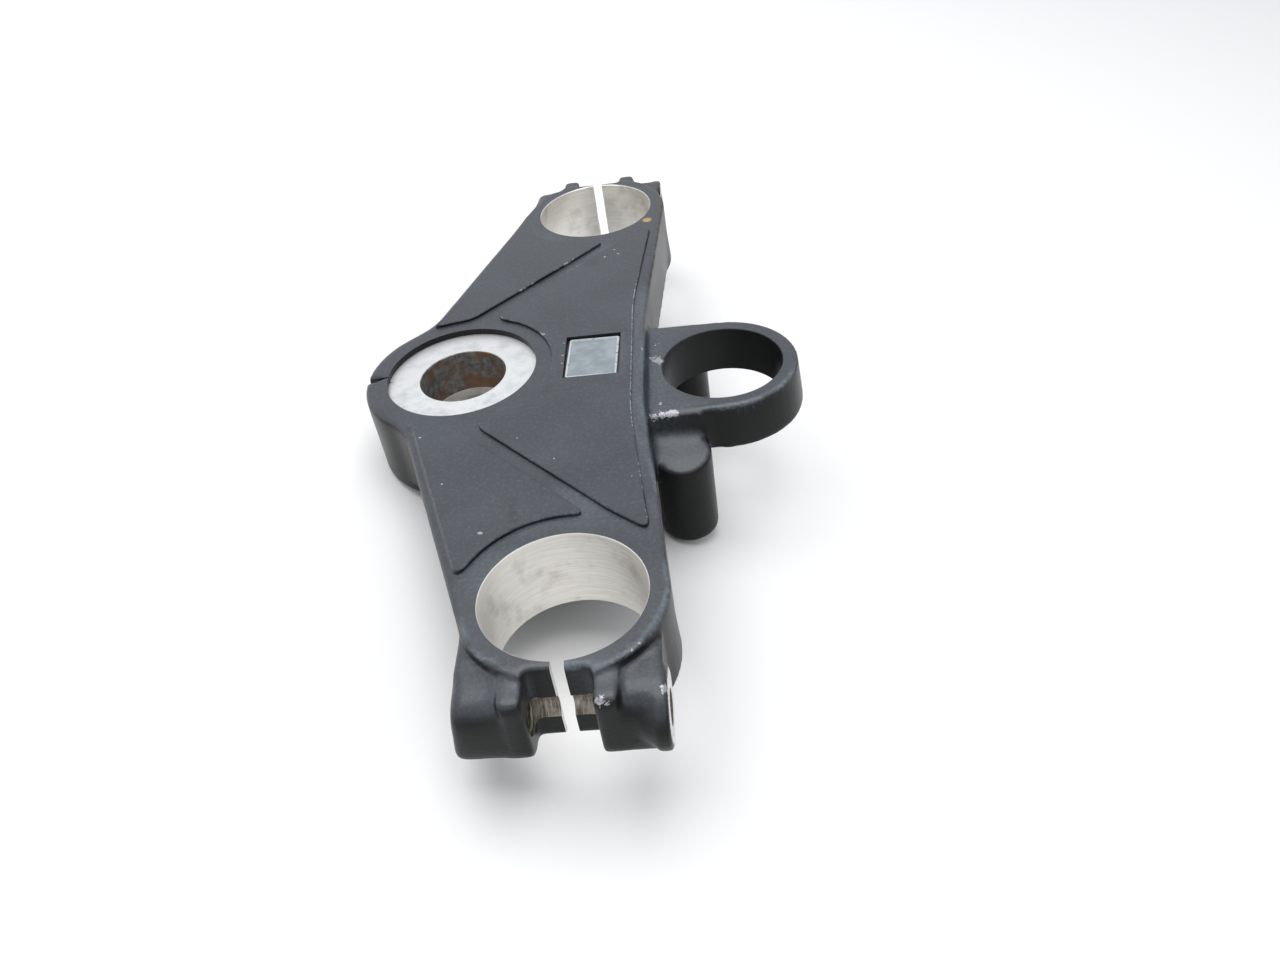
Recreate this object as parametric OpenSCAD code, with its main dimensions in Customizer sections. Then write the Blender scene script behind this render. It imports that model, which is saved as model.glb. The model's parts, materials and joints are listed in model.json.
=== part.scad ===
// Motorcycle top triple clamp: one aluminium casting that ties two fork
// tubes to the steering stem, with a ring for the ignition lock in front,
// and a small plate set into its top. Origin: stem axis, in the plane of
// the stem nut's seat. +Z up along the stem, +Y forward, +X to the right.

/* [Fork clamps] */
// Diameter of each fork tube bore
fork_bore_d = 43; // [37:0.5:50]
// Distance between the two fork tube axes
fork_spacing = 207.8; // [200:0.5:230]
// How far the fork tube axes lie in front of the stem axis
fork_offset = 39.4; // [34:0.5:44]
// Wall of the collar round each fork tube, at its top
collar_wall = 4.7; // [3.5:0.1:7]
// How much thicker the collar's wall is at its foot
collar_draft = 1.2; // [0.4:0.1:2.5]
// Height of the fork clamps
clamp_h = 25; // [20:0.5:34]
// Width of the slit that lets the clamp close
slit_w = 3.4; // [2:0.1:5]

/* [Pinch bolts] */
// Clearance hole for the pinch bolt, in the front lug
pinch_bolt_d = 9; // [8:0.1:10]
// Tapping hole for the pinch bolt, in the rear lug
pinch_tap_d = 6.8; // [6:0.1:8]
// Gap between the fork bore and the pinch bolt hole
pinch_gap = 0.2; // [0.2:0.1:3]
// Depth of the pinch bolt axis under the collar's top
pinch_depth = 14; // [11:0.5:16]
// Diameter of the round seat for the bolt's head
head_seat_d = 20; // [17:0.5:21]
// Distance of the bolt head's seat in front of the fork axis
head_seat_y = 25.2; // [23:0.2:30]
// Thickness of the flange under the bolt's head
head_flange = 3.6; // [2.5:0.1:6]
// Distance of the rear lug's back face behind the fork axis
rear_lug_y = 27.2; // [24:0.2:32]
// Lean of that face, outwards to its foot
rear_lean = 8; // [0:1:12]
// How far the lugs stand out from the pinch bolt axis
lug_reach = 6.2; // [5:0.1:8]
// Radius that rounds the lugs' upper edge
lug_top_r = 7; // [4:0.5:8]
// Radius that rounds the lower edge of lugs and ribs
lug_foot_r = 5; // [3:0.5:6]
// Half width of the relief on each side of the slit
relief_half = 8.2; // [6:0.2:10]
// Width of the rib on each side of the relief
rib_w = 6; // [4:0.2:7]
// How far each rib stands out past its lug
rib_proud = 0.7; // [0.4:0.1:2.5]

/* [Stem] */
// Diameter of the steering stem bore
stem_bore_d = 27.8; // [22:0.1:32]
// Diameter of the machined seat round the stem bore
stem_seat_d = 48.6; // [42:0.2:52]
// Depth of that seat under the collars' top plane
stem_seat_depth = 2.1; // [1:0.1:4]
// Length of the stem bore under its seat
stem_bore_len = 14.5; // [10:0.5:16]
// Diameter of the round boss that the stem passes through
boss_d = 63; // [60:0.5:70]
// Height of the boss, down to the end of its skirt
boss_h = 27; // [25:0.5:34]
// Wall of the skirt under the stem bore
skirt_wall = 6.5; // [4:0.5:9]
// Width of the notch in the rear of the boss's rim
notch_w = 2.6; // [1.5:0.1:4]
// Depth of that notch
notch_depth = 3; // [1:0.1:4]

/* [Bridge] */
// Distance from the stem axis to the straight front edge
front_y = 59.4; // [55:0.2:64]
// Half length of the straight part of the front edge
front_flat = 25; // [15:1:34]
// Where the rear edge, drawn on, would cross the middle
rear_y = 24.1; // [20:0.2:26]
// Radius that blends the boss into the rear edge
rear_blend_r = 25; // [12:1:32]
// Depth of the bridge's side walls
bridge_h = 23; // [18:0.5:25]
// Thickness of the deck
deck_t = 7; // [4:0.5:10]
// Thickness of the side walls
side_wall = 5; // [3:0.5:7]
// Thickness of the webs under the deck
web_t = 4; // [2.5:0.5:6]
// How far the webs stop short of the walls' lower edge
web_short = 4; // [0:0.5:8]

/* [Raised pads] */
// Height of the raised pads above the collars' top plane
pad_h = 1; // [0.4:0.1:2]
// Clear ring round each fork collar, outside the fork bore
pad_gap_fork = 6.8; // [5:0.1:9]
// Clear ring round the stem seat
pad_gap_stem = 5.2; // [3:0.1:6]
// Width of the channel between the middle pad and a side pad
channel_w = 4.8; // [3:0.2:8]
// Width of the low rail in front of the middle pad
rail_w = 4; // [2:0.2:6]

/* [Lock ring] */
// Diameter of the bore for the ignition lock
lock_bore_d = 38.5; // [30:0.5:42]
// Wall of the lock ring at its top
lock_wall = 4.75; // [3:0.25:7]
// How much thicker that wall is at its foot
lock_draft = 1.4; // [0.4:0.1:2.5]
// Distance from the stem axis to the lock's axis
lock_y = 83.4; // [80:0.2:90]
// Depth of the ring's top under the collars' top plane
lock_drop = 6.6; // [3:0.2:9]
// Height of the lock ring
lock_h = 16; // [12:0.5:18]
// Radius of the blends from the ring's arm to the front wall
arm_blend_r = 4; // [2:0.5:6]

/* [Posts] */
// Diameter of the two posts that point down
post_d = 18; // [14:0.5:22]
// Distance of each post from the middle
post_x = 31.5; // [28:0.5:36]
// Distance of the posts in front of the stem axis
post_y = 69; // [68:0.5:74]
// Depth of the posts' lower ends under the collars' top plane
post_depth = 46.5; // [38:0.5:55]
// Depth of each post's shoulder under the collars' top plane
post_shoulder = 18.2; // [15.5:0.1:21]
// Radius of the rounded shoulder between arm and post
shoulder_r = 40; // [24:1:60]
// Diameter of the tapped hole in each post's end
post_tap_d = 6.8; // [4:0.1:9]
// Depth of that tapped hole
post_tap_len = 18; // [8:1:22]
// Radius of the posts' rounded lower rim
post_round = 1.2; // [0.4:0.2:2.4]

/* [Name plate] */
// Length of the plate, across the bridge
plate_w = 22; // [16:0.5:26]
// Depth of the plate, front to back
plate_d = 16.8; // [12:0.2:19]
// Thickness of the plate
plate_t = 1; // [0.6:0.1:1.6]
// Clearance round the plate in its recess
plate_gap = 0.5; // [0.2:0.1:1]
// How far the plate's top lies under the raised pad
plate_sink = 0.7; // [0.2:0.1:1.2]
// Width of the plate's raised border
border_w = 1.2; // [0.6:0.1:2.5]
// Height of that border above the plate's field
border_h = 0.25; // [0.1:0.05:0.4]
// Distance from the stem axis to the plate's middle
plate_y = 42.7; // [42:0.1:44]

/* [Hidden] */
$fn = 96;
past = 1;
// How far a tangent arc reaches into the edge that it runs out on
bite = 0.05;
fork_x = fork_spacing / 2;
fork_r = fork_bore_d / 2;
collar_r = fork_r + collar_wall;
collar_foot_r = collar_r + collar_draft;
wing_r = collar_r + collar_draft / 2;
fork_at = [fork_x, fork_offset];
pinch_x = fork_x + fork_r + pinch_gap + pinch_bolt_d / 2;
head_face_y = fork_offset + head_seat_y;
rear_face_y = fork_offset - rear_lug_y;
lug_face_x = pinch_x + lug_reach;
relief_x = fork_x + fork_r + pinch_gap + 1.9;
// Each lug's top lies this far under the collar's, and each rib's
lug_top = 3.6;
rib_top = 1.8;
// The lugs' lower faces lie this far over the collar's, and the ribs'
lug_foot = 0.6;
rib_foot = 1.4;
rib_top_r = 2.5;
corner_round = 2;
// Narrow end of the cone that carries the bolt head's flange
flange_neck_r = 7;
boss_r = boss_d / 2;
seat_r = stem_seat_d / 2;
stem_ring_r = seat_r + pad_gap_stem;
pad_ring_r = fork_r + pad_gap_fork;
lock_r = lock_bore_d / 2;
ring_r = lock_r + lock_wall;
ring_foot_r = ring_r + lock_draft;
ring_at = [0, lock_y];
arm_half = ring_r + 0.3;
plate_top = pad_h - plate_sink;
recess_floor = plate_top - plate_t;
// Where each side pad begins, beside the stem seat, and ends, by the fork
pad_from_x = seat_r + 3;
pad_to_x = fork_x - 9;

// Point where a line from p touches the circle of radius r round c
function touch(p, c, r, side) =
    let (d = norm(p - c),
         turn = acos(r / d),
         base = atan2(p[1] - c[1], p[0] - c[0]))
    c + r * [cos(base + side * turn), sin(base + side * turn)];
// Unit vector from a to b, and that vector turned a quarter to the left
function way(a, b) = (b - a) / norm(b - a);
function left_of(v) = [-v[1], v[0]];
// Where the line through p along u meets the line through q along v
function cross_at(p, u, q, v) =
    p + u * (((q[0] - p[0]) * v[1] - (q[1] - p[1]) * v[0])
             / (u[0] * v[1] - u[1] * v[0]));

rear_mid = [0, -rear_y];
front_end = [front_flat, front_y];
rear_touch = touch(rear_mid, fork_at, wing_r - bite, 1);
front_touch = touch(front_end, fork_at, wing_r - bite, -1);
rear_way = way(rear_mid, rear_touch);
front_way = way(front_end, front_touch);
// Middle of the blend between the boss and the rear edge
blend_line = rear_mid - left_of(rear_way) * (rear_blend_r - bite);
blend_b = blend_line * rear_way;
blend_c = blend_line * blend_line
    - pow(boss_r + rear_blend_r - bite, 2);
blend_at = blend_line
    + rear_way * (-blend_b + sqrt(blend_b * blend_b - blend_c));

// Channel between the pads: it runs from the stem to the fork collar
channel_from = [33.8, 7.2];
channel_to = [76.8, 48.7];
channel_way = way(channel_from, channel_to);
channel_side = left_of(channel_way) * channel_w / 2;

// Shapes are drawn from the fork collars' top plane; this lifts them so
// that the stem nut's seat lies at z = 0
module from_seat() {
    translate([0, 0, stem_seat_depth]) children();
}

module both_sides() {
    for (s = [0, 1]) mirror([s, 0, 0]) children();
}

module wing_outline() {
    polygon([rear_mid, rear_touch, fork_at, front_touch,
             front_end, [0, front_y]]);
    translate(fork_at) circle(wing_r);
}

module rear_blend() {
    difference() {
        polygon([[0, 0], blend_at,
                 blend_at + left_of(rear_way) * (rear_blend_r + past)]);
        translate(blend_at) circle(rear_blend_r);
    }
}

module bridge_outline() {
    circle(boss_r);
    both_sides() {
        wing_outline();
        rear_blend();
    }
}

// One hollow under the deck, on the right of the boss
module side_hollow_outline() {
    inner_rear = rear_mid + left_of(rear_way) * side_wall;
    inner_front = front_end - left_of(front_way) * side_wall;
    difference() {
        intersection() {
            polygon([inner_rear, inner_rear + rear_way * fork_spacing,
                     inner_front + front_way * fork_spacing, inner_front,
                     [0, front_y - side_wall]]);
            translate([arm_half, -boss_r])
                square([fork_x - arm_half, boss_r + lock_y]);
        }
        circle(boss_r + 0.5);
        translate(fork_at) circle(collar_foot_r + 1.5);
    }
}

module middle_hollow_outline() {
    difference() {
        translate([-arm_half + web_t, 0])
            square([2 * (arm_half - web_t), front_y - side_wall]);
        circle(boss_r + 0.5);
    }
}

module hollows() {
    low = -bridge_h - past;
    both_sides() difference() {
        translate([0, 0, low])
            linear_extrude(bridge_h + past - deck_t) side_hollow_outline();
        translate([0, 0, web_short - bridge_h])
            linear_extrude(bridge_h)
            rotate(atan2(fork_at[1], fork_at[0]))
            translate([0, -web_t / 2]) square([fork_x, web_t]);
    }
    translate([0, 0, low])
        linear_extrude(bridge_h + past - deck_t) middle_hollow_outline();
}

module collar(x) {
    translate([x, fork_offset, -clamp_h])
        cylinder(h = clamp_h, r1 = collar_foot_r, r2 = collar_r);
}

// A plate whose lower and upper corners have radii of their own
module rounded(w, h, low_r, top_r) {
    translate([0, low_r]) square([w, h - low_r - top_r]);
    translate([low_r, 0]) square([w - 2 * low_r, h - top_r]);
    translate([top_r, low_r]) square([w - 2 * top_r, h - low_r]);
    for (x = [low_r, w - low_r]) translate([x, low_r]) circle(low_r);
    for (x = [top_r, w - top_r]) translate([x, h - top_r]) circle(top_r);
}

// A block from inside the collar out to a face with rounded edges. Where
// it leans, its rear face stands further out at its foot
module lug(y0, y1, face_x, top, foot, top_r, lean = 0) {
    w = face_x - fork_x;
    wide = lean == 0 ? y1 - y0 : 2 * (y1 - y0);
    intersection() {
        translate([fork_x, y1, foot - clamp_h]) rotate([90, 0, 0])
            linear_extrude(y1 - y0 + clamp_h)
            rounded(w, clamp_h - foot - top, lug_foot_r, top_r);
        translate([fork_x, y0, -pinch_depth]) rotate([-lean, 0, 0])
            linear_extrude(2 * clamp_h, center = true)
            rounded(w, wide, corner_round, corner_round);
    }
}

module clamp_lugs() {
    rib_face = lug_face_x + rib_proud;
    relief_rear = fork_offset - relief_half;
    relief_front = fork_offset + relief_half;
    lug(rear_face_y, relief_rear, lug_face_x, lug_top, lug_foot, lug_top_r,
        rear_lean);
    lug(relief_front, head_face_y - past, lug_face_x, lug_top, lug_foot,
        lug_top_r);
    for (y = [relief_rear - rib_w, relief_front])
        lug(y, y + rib_w, rib_face, rib_top, rib_foot, rib_top_r);
    translate([pinch_x, head_face_y, -pinch_depth]) rotate([90, 0, 0]) {
        cylinder(h = head_flange, d = head_seat_d);
        translate([0, 0, head_flange - past])
            cylinder(h = head_flange + past, r1 = head_seat_d / 2,
                     r2 = flange_neck_r);
    }
}

// Everything cut at one clamp: bore, slit, relief and pinch bolt hole
module clamp_cuts() {
    translate([fork_x, fork_offset, -clamp_h - past])
        cylinder(h = clamp_h + 2 * past, r = fork_r);
    translate([fork_x, fork_offset - slit_w / 2, -clamp_h - past])
        cube([2 * fork_r, slit_w, clamp_h + 2 * past]);
    translate([relief_x, fork_offset - relief_half, -clamp_h - past])
        cube([fork_r, 2 * relief_half, clamp_h + 2 * past]);
    translate([pinch_x, head_face_y + past, -pinch_depth])
        rotate([90, 0, 0])
        cylinder(h = head_seat_y + relief_half + past, d = pinch_bolt_d);
    translate([pinch_x, fork_offset, -pinch_depth]) rotate([90, 0, 0])
        cylinder(h = rear_lug_y + past, d = pinch_tap_d);
}

module stem_cuts() {
    translate([0, 0, -stem_seat_depth])
        cylinder(h = stem_seat_depth + pad_h + past, r = seat_r);
    translate([0, 0, -boss_h - past])
        cylinder(h = boss_h + past, d = stem_bore_d);
    translate([0, 0, -boss_h - past])
        cylinder(h = boss_h + past - stem_seat_depth - stem_bore_len,
                 r = boss_r - skirt_wall);
    translate([0, -seat_r, -notch_depth])
        linear_extrude(notch_depth + past)
        polygon([[0, 2], [notch_w / 2, -boss_r + seat_r - past],
                 [-notch_w / 2, -boss_r + seat_r - past]]);
}

module lock_arm_outline() {
    reach = arm_blend_r - bite;
    translate([-arm_half, front_y - side_wall])
        square([2 * arm_half, lock_y - front_y + side_wall]);
    both_sides() difference() {
        translate([arm_half - past, front_y - past])
            square([reach + past, reach + past]);
        translate([arm_half + reach, front_y + reach])
            circle(arm_blend_r);
    }
}

module lock_arm() {
    translate([0, 0, -lock_drop - lock_h])
        linear_extrude(lock_h) lock_arm_outline();
    translate([0, lock_y, -lock_drop - lock_h])
        cylinder(h = lock_h, r1 = ring_foot_r, r2 = ring_r);
}

module lock_bore() {
    translate([0, lock_y, -lock_drop - lock_h - past])
        cylinder(h = lock_h + 2 * past, r = lock_r);
}

// A post with its web to the arm; a lying cylinder rounds its shoulder
module post() {
    r = post_d / 2;
    over = post_x + r - arm_half - past;
    arc_x = arm_half + past;
    arc_z = -post_shoulder - sqrt(pow(shoulder_r, 2) - pow(over, 2));
    head_h = post_depth - lock_drop - past;
    difference() {
        union() {
            translate([post_x, post_y, -post_depth]) rotate_extrude() {
                translate([0, post_round]) square([r, head_h - post_round]);
                square([r - post_round, post_round]);
                intersection() {
                    translate([r - post_round, post_round])
                        circle(post_round);
                    square(r);
                }
            }
            translate([arm_half - past, front_y - past,
                       1 - lock_drop - lock_h])
                cube([post_x - arm_half + past,
                      post_y - front_y + 0.8 * r + past,
                      lock_h - 1 - past]);
        }
        difference() {
            translate([arc_x, front_y - side_wall, arc_z])
                cube([post_x, lock_y, -arc_z]);
            translate([arc_x, lock_y, arc_z]) rotate([90, 0, 0])
                cylinder(h = lock_y, r = shoulder_r, center = true);
        }
    }
}

module post_tap() {
    translate([post_x, post_y, -post_depth - past])
        cylinder(h = post_tap_len + past, d = post_tap_d);
}

// Flat raised pad between the rear edge and the channel
module side_pad_outline() {
    inner = channel_from - channel_side;
    outer = channel_to - channel_side;
    difference() {
        intersection() {
            bridge_outline();
            polygon([inner - channel_way * boss_d, outer,
                     outer + [fork_x, 0], [2 * fork_x, -boss_d], [0, -boss_d]]);
            translate([pad_from_x, -boss_d])
                square([pad_to_x - pad_from_x, 2 * boss_d]);
        }
        circle(stem_ring_r);
        translate(fork_at) circle(pad_ring_r);
    }
}

// Raised pad in the middle, in front of the stem
module middle_pad_outline() {
    inner = channel_from + channel_side;
    outer = channel_to + channel_side;
    edge_y = front_y - rail_w;
    tip = cross_at(front_end - [0, rail_w], front_way, inner, channel_way)
        + [-1.5, 0.6];
    half = [inner, outer, tip, tip - [4, 0.6],
            [front_flat + 10, edge_y + 0.4], [front_flat, edge_y]];
    difference() {
        polygon(concat(half, [for (i = [len(half) - 1 : -1 : 0])
                                  [-half[i][0], half[i][1]]]));
        circle(stem_ring_r);
    }
}

module plate_recess() {
    translate([-plate_w / 2 - plate_gap, plate_y - plate_d / 2 - plate_gap,
               recess_floor])
        cube([plate_w + 2 * plate_gap, plate_d + 2 * plate_gap,
              pad_h - recess_floor + past]);
}

module top_bridge() {
    color([0.20, 0.21, 0.23]) from_seat() difference() {
        union() {
            translate([0, 0, -bridge_h]) difference() {
                linear_extrude(bridge_h) bridge_outline();
                translate([0, 0, bridge_h]) hollows();
            }
            translate([0, 0, -boss_h]) cylinder(h = boss_h, r = boss_r);
            collar(fork_x);
            collar(-fork_x);
            both_sides() {
                clamp_lugs();
                post();
                linear_extrude(pad_h) side_pad_outline();
            }
            linear_extrude(pad_h) middle_pad_outline();
            lock_arm();
        }
        both_sides() {
            clamp_cuts();
            post_tap();
        }
        stem_cuts();
        lock_bore();
        plate_recess();
    }
}

module badge_plate() {
    color([0.62, 0.66, 0.70]) from_seat()
        translate([-plate_w / 2, plate_y - plate_d / 2, recess_floor])
        difference() {
            cube([plate_w, plate_d, plate_t]);
            translate([border_w, border_w, plate_t - border_h])
                cube([plate_w - 2 * border_w, plate_d - 2 * border_w,
                      plate_t]);
        }
}

top_bridge();
badge_plate();
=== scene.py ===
import bmesh
import bpy
import json
import math
import numpy as np
from mathutils import Matrix, Vector
from mathutils.kdtree import KDTree


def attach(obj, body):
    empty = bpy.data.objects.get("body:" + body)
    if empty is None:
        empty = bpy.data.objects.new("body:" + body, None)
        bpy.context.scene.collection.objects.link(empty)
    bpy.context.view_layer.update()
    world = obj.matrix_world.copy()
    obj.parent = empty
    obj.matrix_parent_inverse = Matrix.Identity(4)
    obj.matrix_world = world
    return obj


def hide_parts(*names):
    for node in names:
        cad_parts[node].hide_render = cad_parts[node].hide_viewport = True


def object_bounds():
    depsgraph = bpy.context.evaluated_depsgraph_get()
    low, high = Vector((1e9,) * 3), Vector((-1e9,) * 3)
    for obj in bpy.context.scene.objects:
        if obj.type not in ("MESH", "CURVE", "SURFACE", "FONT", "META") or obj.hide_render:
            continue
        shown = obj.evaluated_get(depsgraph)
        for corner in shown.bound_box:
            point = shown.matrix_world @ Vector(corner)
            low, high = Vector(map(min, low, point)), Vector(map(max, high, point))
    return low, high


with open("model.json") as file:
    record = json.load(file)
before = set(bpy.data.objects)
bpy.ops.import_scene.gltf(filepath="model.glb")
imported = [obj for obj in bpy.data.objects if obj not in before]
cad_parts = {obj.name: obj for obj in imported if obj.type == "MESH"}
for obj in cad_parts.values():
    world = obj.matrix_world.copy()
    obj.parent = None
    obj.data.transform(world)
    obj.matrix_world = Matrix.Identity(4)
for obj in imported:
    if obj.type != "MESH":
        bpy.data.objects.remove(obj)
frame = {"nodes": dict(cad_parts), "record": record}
cad_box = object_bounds()
MM = 0.001

# The camera, where the photographer held it: low over the right-hand fork clamp, looking along the
# bridge to the far clamp. The frame is 1280 by 960 pixels, and the lens was solved from the bores.
camera = bpy.data.objects.new("camera", bpy.data.cameras.new("camera"))
camera.data.lens = 30.94
camera.data.sensor_width = 36
camera.data.clip_start = 0.01
camera.location = Vector((293.28, 84.06, 193.64)) * MM
camera.rotation_euler = [math.radians(a) for a in (50.0396, 7.1185, 90.4448)]
bpy.context.scene.collection.objects.link(camera)
bpy.context.scene.camera = camera

# The cast bridge: one aluminium sand casting, so every edge is rounded and every corner filled, with
# the bores, the stem nut's seat, the slits and the bolt seats machined into it afterwards. Its shape
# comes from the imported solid: the machined holes are plugged, the whole is cast round, then they are cut.
mounts = {m["name"]: m for m in frame["record"]["mounts"]}
VOXEL = 0.55 * MM
TOP_Z = 2.1 * MM
PAD_Z = 3.1 * MM
CLAMP_FOOT_Z = TOP_Z - 25 * MM
BOSS_FOOT_Z = TOP_Z - 27 * MM
RELIEF_R = 25 * MM
RELIEF_HALF = 8.2 * MM
RECESS_LOW = Vector((-11.5, 33.8, 1.4)) * MM
RECESS_HIGH = Vector((11.5, 51.6, 2.1)) * MM
PLUG_OVER = 0.6 * MM
SLIT_PLUG_HALF = 2.2 * MM
BOLT_PLUG_HALF = 5.2 * MM
fork_at = Vector(mounts["fork_bore_right"]["pos_m"])
fork_r = mounts["fork_bore_right"]["dims"]["r_mm"] * MM
lock_at = Vector(mounts["lock_bore"]["pos_m"])
lock_r = mounts["lock_bore"]["dims"]["r_mm"] * MM
stem_r = mounts["stem_bore"]["dims"]["r_mm"] * MM
pinch = Vector(mounts["pinch_hole_right"]["pos_m"])
post = Vector(mounts["post_thread_right"]["pos_m"])
relief_x = fork_at.x + fork_r + 2.1 * MM


def rod(bm, centre, axis, radius, low, high, flare=0, sides=160):
    """A closed round bar along axis, from low to high of the centre, flare wider at its high end."""
    turn = Vector(axis).to_track_quat("Z", "Y").to_matrix().to_4x4()
    middle = Vector(centre) + Vector(axis) * (low + high) / 2
    bmesh.ops.create_cone(bm, cap_ends=True, segments=sides, radius1=radius, radius2=radius + flare,
                          depth=high - low, matrix=Matrix.Translation(middle) @ turn)


def block(bm, low, high):
    """A closed box between two corners."""
    low, high = Vector(low), Vector(high)
    size = Matrix.Diagonal((*(high - low), 1))
    bmesh.ops.create_cube(bm, size=1, matrix=Matrix.Translation((low + high) / 2) @ size)


def mesh_from(bm, name):
    """Turns bmesh bm into an object that is linked to the scene."""
    mesh = bpy.data.meshes.new(name)
    bmesh.ops.recalc_face_normals(bm, faces=bm.faces)
    bm.to_mesh(mesh)
    bm.free()
    made = bpy.data.objects.new(name, mesh)
    bpy.context.scene.collection.objects.link(made)
    return made


def with_modifier(thing, kind, **settings):
    """Runs one modifier on thing and keeps its result."""
    modifier = thing.modifiers.new(kind, kind)
    for key, value in settings.items():
        setattr(modifier, key, value)
    done = bpy.data.meshes.new_from_object(
        thing.evaluated_get(bpy.context.evaluated_depsgraph_get()))
    thing.modifiers.clear()
    old = thing.data
    thing.data = done
    bpy.data.meshes.remove(old)


# Holes that are drilled or bored: the mount, and how far each runs along its axis from it, in mm
HOLES = {"stem": ("stem_bore", -14.5, 0), "lock": ("lock_bore", -8, 8)}
for side in ("right", "left"):
    HOLES["fork_" + side] = ("fork_bore_" + side, -12.5, 12.5)
    HOLES["pinch_" + side] = ("pinch_hole_" + side, -8.5, 8.5)
    HOLES["groove_" + side] = ("pinch_hole_" + side, -24.9, -8.1)
    HOLES["tap_" + side] = ("pinch_thread_" + side, -9.4, 9.4)
    HOLES["post_" + side] = ("post_thread_" + side, -9, 9)


def hole_rods(bm, names, grow, over):
    """Adds a rod for each named hole, grown in radius and in length."""
    for name in names:
        mount, low, high = HOLES[name]
        m = mounts[mount]
        rod(bm, m["pos_m"], m["axis"], m["dims"]["r_mm"] * MM + grow,
            low * MM - over, high * MM + over)


# The lock ring's arm meets the posts' shoulders in a hollow corner
ARM_HALF = lock_r + 5.05 * MM
SHOULDER_Z = -12.9 * MM
COVE_R = 5 * MM
COVE_BACK_Y = 60.5 * MM
COVE_FRONT_Y = 76 * MM


def cove(bm, side, steps=10):
    """A hollow-faced filling in the corner between the arm's side and the post's shoulder."""
    x0, z0 = ARM_HALF - MM, SHOULDER_Z - 2 * MM
    profile = [(x0, z0), (x0, SHOULDER_Z + COVE_R)]
    for i in range(steps + 1):
        angle = math.pi / 2 * i / steps
        profile.append((ARM_HALF + COVE_R * (1 - math.cos(angle)),
                        SHOULDER_Z + COVE_R * (1 - math.sin(angle))))
    profile.append((ARM_HALF + COVE_R, z0))
    ends = [[bm.verts.new((side * px, y, pz)) for px, pz in profile] for y in (COVE_BACK_Y, COVE_FRONT_Y)]
    bm.faces.new(ends[0])
    bm.faces.new(ends[1])
    for i in range(len(profile)):
        k = (i + 1) % len(profile)
        bm.faces.new((ends[0][i], ends[0][k], ends[1][k], ends[1][i]))


pattern = bmesh.new()
pattern.from_mesh(frame["nodes"]["top_bridge"].data)
bmesh.ops.remove_doubles(pattern, verts=pattern.verts, dist=1e-7)
pattern.normal_update()


def outlines(bm, z, shortest):
    """Closed outlines, longer than shortest, of the flat faces at height z: lists of x, y places."""
    flat = [f for f in bm.faces if f.normal.z > 0.99 and all(abs(v.co.z - z) < 1e-6 for v in f.verts)]
    is_flat = set(flat)
    after = {}
    for face in flat:
        for loop in face.loops:
            if sum(f in is_flat for f in loop.edge.link_faces) == 1:
                after[loop.vert] = loop.link_loop_next.vert
    found = []
    while after:
        start, vert = after.popitem()
        line = [start.co.to_2d()]
        while vert != start:
            line.append(vert.co.to_2d())
            vert = after.pop(vert)
        if sum((p - q).length for p, q in zip(line, line[1:])) > shortest:
            found.append(line)
    return found


SHORTEST_PAD_LINE = 120 * MM
pad_outlines = outlines(pattern, PAD_Z, SHORTEST_PAD_LINE)
for vertex in pattern.verts:
    vertex.co.z = min(vertex.co.z, TOP_Z)
hole_rods(pattern, [n for n in HOLES if n != "stem" and "groove" not in n], PLUG_OVER, 0)
rod(pattern, (0, 0, 0), (0, 0, 1), RELIEF_R + PLUG_OVER, BOSS_FOOT_Z, TOP_Z)
block(pattern, RECESS_LOW - Vector((1, 1, 1)) * MM, RECESS_HIGH + Vector((1, 1, 0)) * MM)
for s in (1, -1):
    low, high = sorted((s * fork_at.x, s * relief_x))
    block(pattern, (low, fork_at.y - SLIT_PLUG_HALF, CLAMP_FOOT_Z),
          (high, fork_at.y + SLIT_PLUG_HALF, TOP_Z))
    block(pattern, (low, fork_at.y - RELIEF_HALF, pinch.z - BOLT_PLUG_HALF),
          (high, fork_at.y + RELIEF_HALF, pinch.z + BOLT_PLUG_HALF))
    cove(pattern, s)
casting = mesh_from(pattern, "cast_bridge")
with_modifier(casting, "REMESH", mode="VOXEL", voxel_size=VOXEL)


def mesh_arrays(mesh):
    """Vertex places, vertex normals and edges of a mesh as arrays."""
    co = np.empty(len(mesh.vertices) * 3)
    mesh.vertices.foreach_get("co", co)
    normal = np.empty(len(mesh.vertices) * 3)
    mesh.vertices.foreach_get("normal", normal)
    edge = np.empty(len(mesh.edges) * 2, np.int64)
    mesh.edges.foreach_get("vertices", edge)
    return co.reshape(-1, 3), normal.reshape(-1, 3), edge.reshape(-1, 2)


def neighbours_mean(values, edge):
    """The mean of each vertex's neighbours, column by column."""
    a, b = edge.T
    size = len(values)
    count = np.bincount(a, minlength=size) + np.bincount(b, minlength=size)
    columns = [np.bincount(a, c[b], size) + np.bincount(b, c[a], size) for c in values.T]
    return np.stack(columns, 1) / count[:, None]


def relax(mesh, weight, passes, fill_only=False):
    """Moves each vertex towards its neighbours' middle. fill_only fills hollows and spares edges."""
    co, normal, edge = mesh_arrays(mesh)
    used, edge = np.unique(edge[(weight[edge] > 0).any(1)], return_inverse=True)
    edge = edge.reshape(-1, 2)
    part, facing_out, share = co[used], normal[used], weight[used][:, None] * 0.5
    for _ in range(passes):
        step = (neighbours_mean(part, edge) - part) * share
        if fill_only:
            step[(step * facing_out).sum(1) < 0] *= 0.1
        part += step
    co[used] = part
    mesh.vertices.foreach_set("co", co.ravel())
    mesh.update()


def fade(value, low, high):
    """0 below low, 1 above high, smooth between."""
    t = np.clip((value - low) / (high - low), 0, 1)
    return t * t * (3 - 2 * t)


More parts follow.
